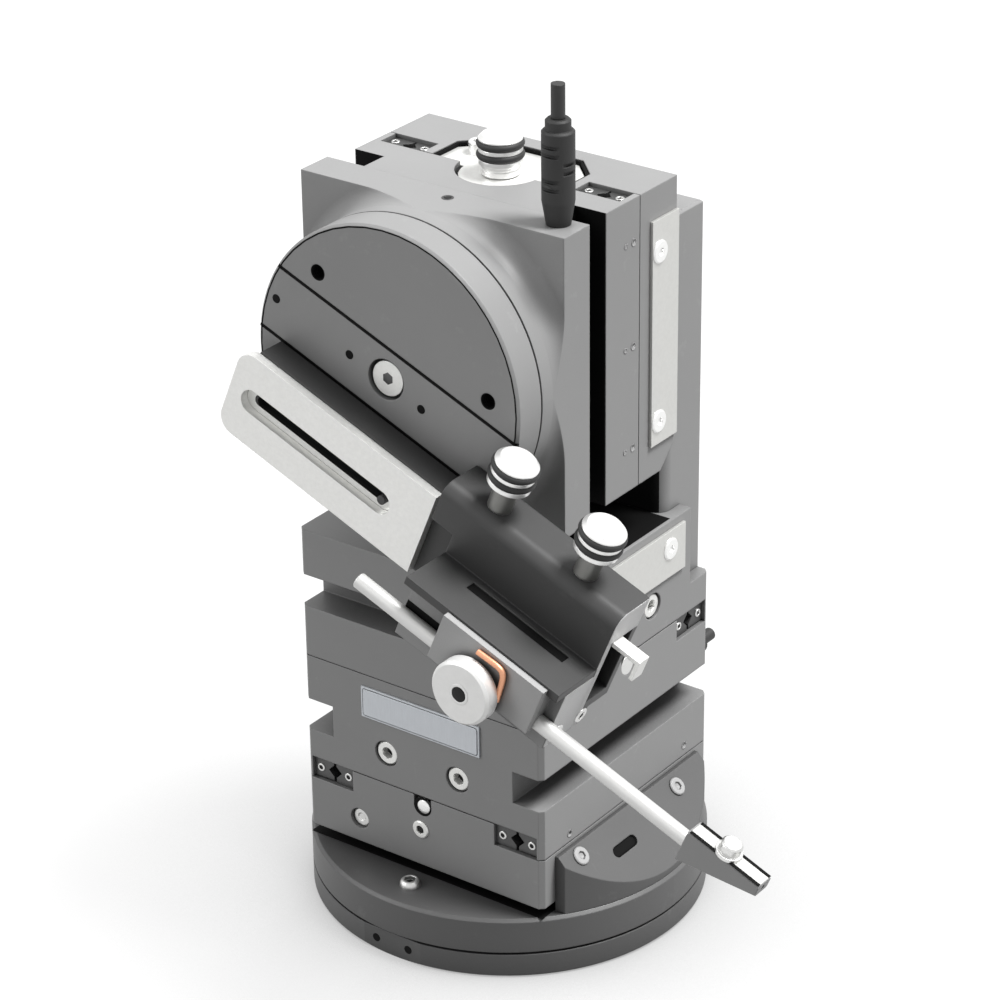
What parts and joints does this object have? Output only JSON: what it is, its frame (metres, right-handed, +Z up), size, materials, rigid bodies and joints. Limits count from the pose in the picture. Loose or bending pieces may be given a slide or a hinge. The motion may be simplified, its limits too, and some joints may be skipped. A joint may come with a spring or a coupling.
{
  "type": "motorized micromanipulator",
  "caption": "Motorized micromanipulator: turntable, stacked crossed-roller stages, upright stage on a column, and a tilted slide that holds a probe rod.",
  "frame": {"origin": "centre of the bottom face of the turntable's base ring", "axes": "+Z up, front with the label and the probe slide towards -Y, +X to the side of the connector housing"},
  "size_m": [0.1774, 0.1356, 0.2349],
  "materials": {
    "anodised_grey": "satin",
    "black_metal": "satin",
    "bright_metal": "brushed",
    "steel": "satin",
    "polished_metal": "polished",
    "motor_can": "satin",
    "bronze": "satin",
    "copper": "satin",
    "rubber": "matt",
    "cable_jacket": "matt",
    "label": "satin"
  },
  "bodies": {
    "base": {"base_ring": "anodised_grey", "turn_retainer": "black_metal"},
    "turntable": {"swivel_plate": "anodised_grey", "connector_housing": "anodised_grey", "y_base": "anodised_grey", "y_fixed_rails": "steel", "y_motor": "motor_can"},
    "y_cage": {"y_roller_cages": "steel"},
    "y_drive": {"y_screw": "steel"},
    "y_carriage": {"middle_block": "anodised_grey", "label_plate": "label", "y_moving_rails": "steel", "y_nut": "bronze", "x_fixed_rails": "steel", "x_motor": "motor_can", "rear_gland": "cable_jacket", "rear_cable": "cable_jacket"},
    "x_cage": {"x_roller_cages": "steel"},
    "x_drive": {"x_screw": "steel"},
    "x_carriage": {"upper_block": "anodised_grey", "side_plate": "bright_metal", "x_moving_rails": "steel", "x_nut": "bronze", "column": "anodised_grey", "z_base": "anodised_grey", "z_fixed_rails": "steel", "z_motor": "motor_can", "z_strip": "bright_metal", "z_bearing_plate": "bright_metal"},
    "z_cage": {"z_roller_cages": "steel"},
    "z_drive": {"z_screw": "steel", "z_knob": "polished_metal", "z_knob_rings": "rubber"},
    "z_head": {"z_carriage": "anodised_grey", "z_moving_rails": "steel", "z_nut": "bronze", "tilt_screw": "steel", "top_boot": "rubber", "top_cable": "cable_jacket"},
    "tilt_disc": {"swivel_disc": "anodised_grey", "slide_guide": "black_metal", "stop_pin": "steel"},
    "slide": {"slide_body": "black_metal", "slide_bar": "bright_metal", "slide_carriage": "black_metal", "rod_block": "anodised_grey", "end_bracket": "bright_metal", "clamp_jaw": "anodised_grey", "eye_bolt": "steel", "clamp_clip": "copper"},
    "thumb_1": {"thumb_screw_1": "polished_metal", "thumb_screw_1_rings": "rubber"},
    "thumb_2": {"thumb_screw_2": "polished_metal", "thumb_screw_2_rings": "rubber"},
    "clamp": {"clamp_knob": "polished_metal"},
    "rod": {"probe_rod": "polished_metal"},
    "holder": {"tip_holder": "black_metal"},
    "holder_screw": {"tip_screw": "steel"}
  },
  "joints": [
    {"name": "turntable_turn", "type": "hinge", "parent": "base", "child": "turntable", "pos_m": [0, 0, 0], "axis": [0, 0, 1], "continuous": true},
    {"name": "y_travel", "type": "slide", "parent": "turntable", "child": "y_carriage", "axis": [0, 1, 0], "range_m": [-0.01, 0.01]},
    {"name": "y_cage_roll", "type": "slide", "parent": "turntable", "child": "y_cage", "axis": [0, 1, 0], "range_m": [-0.005, 0.005]},
    {"name": "y_screw_turn", "type": "hinge", "parent": "turntable", "child": "y_drive", "pos_m": [0, 0, 0.0376], "axis": [0, 1, 0], "range_deg": [-3600, 3600]},
    {"name": "x_travel", "type": "slide", "parent": "y_carriage", "child": "x_carriage", "axis": [1, 0, 0], "range_m": [-0.01, 0.01]},
    {"name": "x_cage_roll", "type": "slide", "parent": "y_carriage", "child": "x_cage", "axis": [1, 0, 0], "range_m": [-0.005, 0.005]},
    {"name": "x_screw_turn", "type": "hinge", "parent": "y_carriage", "child": "x_drive", "pos_m": [0, 0, 0.0738], "axis": [1, 0, 0], "range_deg": [-3600, 3600]},
    {"name": "z_travel", "type": "slide", "parent": "x_carriage", "child": "z_head", "axis": [0, 0, 1], "range_m": [-0.01, 0.01]},
    {"name": "z_cage_roll", "type": "slide", "parent": "x_carriage", "child": "z_cage", "axis": [0, 0, 1], "range_m": [-0.005, 0.005]},
    {"name": "z_screw_turn", "type": "hinge", "parent": "x_carriage", "child": "z_drive", "pos_m": [0, -0.0005, 0.1613], "axis": [0, 0, 1], "range_deg": [-3600, 3600]},
    {"name": "head_tilt", "type": "hinge", "parent": "z_head", "child": "tilt_disc", "pos_m": [0, -0.0477, 0.1613], "axis": [0, 1, 0], "range_deg": [-112.5, 15]},
    {"name": "approach", "type": "slide", "parent": "tilt_disc", "child": "slide", "axis": [0.9239, 0, -0.3827], "range_m": [0, 0.04]},
    {"name": "thumb_1_turn", "type": "hinge", "parent": "slide", "child": "thumb_1", "pos_m": [0.03835, -0.0549, 0.14152], "axis": [0.3827, 0, 0.9239], "range_deg": [-180, 180]},
    {"name": "thumb_2_turn", "type": "hinge", "parent": "slide", "child": "thumb_2", "pos_m": [0.06283, -0.0549, 0.13138], "axis": [0.3827, 0, 0.9239], "range_deg": [-180, 180]},
    {"name": "clamp_turn", "type": "hinge", "parent": "slide", "child": "clamp", "pos_m": [0.04681, -0.0777, 0.10706], "axis": [0, -1, 0], "range_deg": [-180, 180]},
    {"name": "rod_travel", "type": "slide", "parent": "slide", "child": "rod", "axis": [0.9239, 0, -0.3827], "range_m": [-0.02, 0.015]},
    {"name": "holder_turn", "type": "hinge", "parent": "rod", "child": "holder", "pos_m": [0.10418, -0.0738, 0.08329], "axis": [0.9239, 0, -0.3827], "range_deg": [-90, 90]},
    {"name": "tip_screw_turn", "type": "hinge", "parent": "holder", "child": "holder_screw", "pos_m": [0.11503, -0.0738, 0.08389], "axis": [0.3827, 0, 0.9239], "range_deg": [-180, 180]}
  ],
  "couplings": [
    {"joint": "y_cage_roll", "follows": "y_travel", "ratio": 0.5},
    {"joint": "x_cage_roll", "follows": "x_travel", "ratio": 0.5},
    {"joint": "z_cage_roll", "follows": "z_travel", "ratio": 0.5},
    {"joint": "y_screw_turn", "follows": "y_travel", "rad_per_m": 6283.2},
    {"joint": "x_screw_turn", "follows": "x_travel", "rad_per_m": 6283.2},
    {"joint": "z_screw_turn", "follows": "z_travel", "rad_per_m": 6283.2}
  ]
}
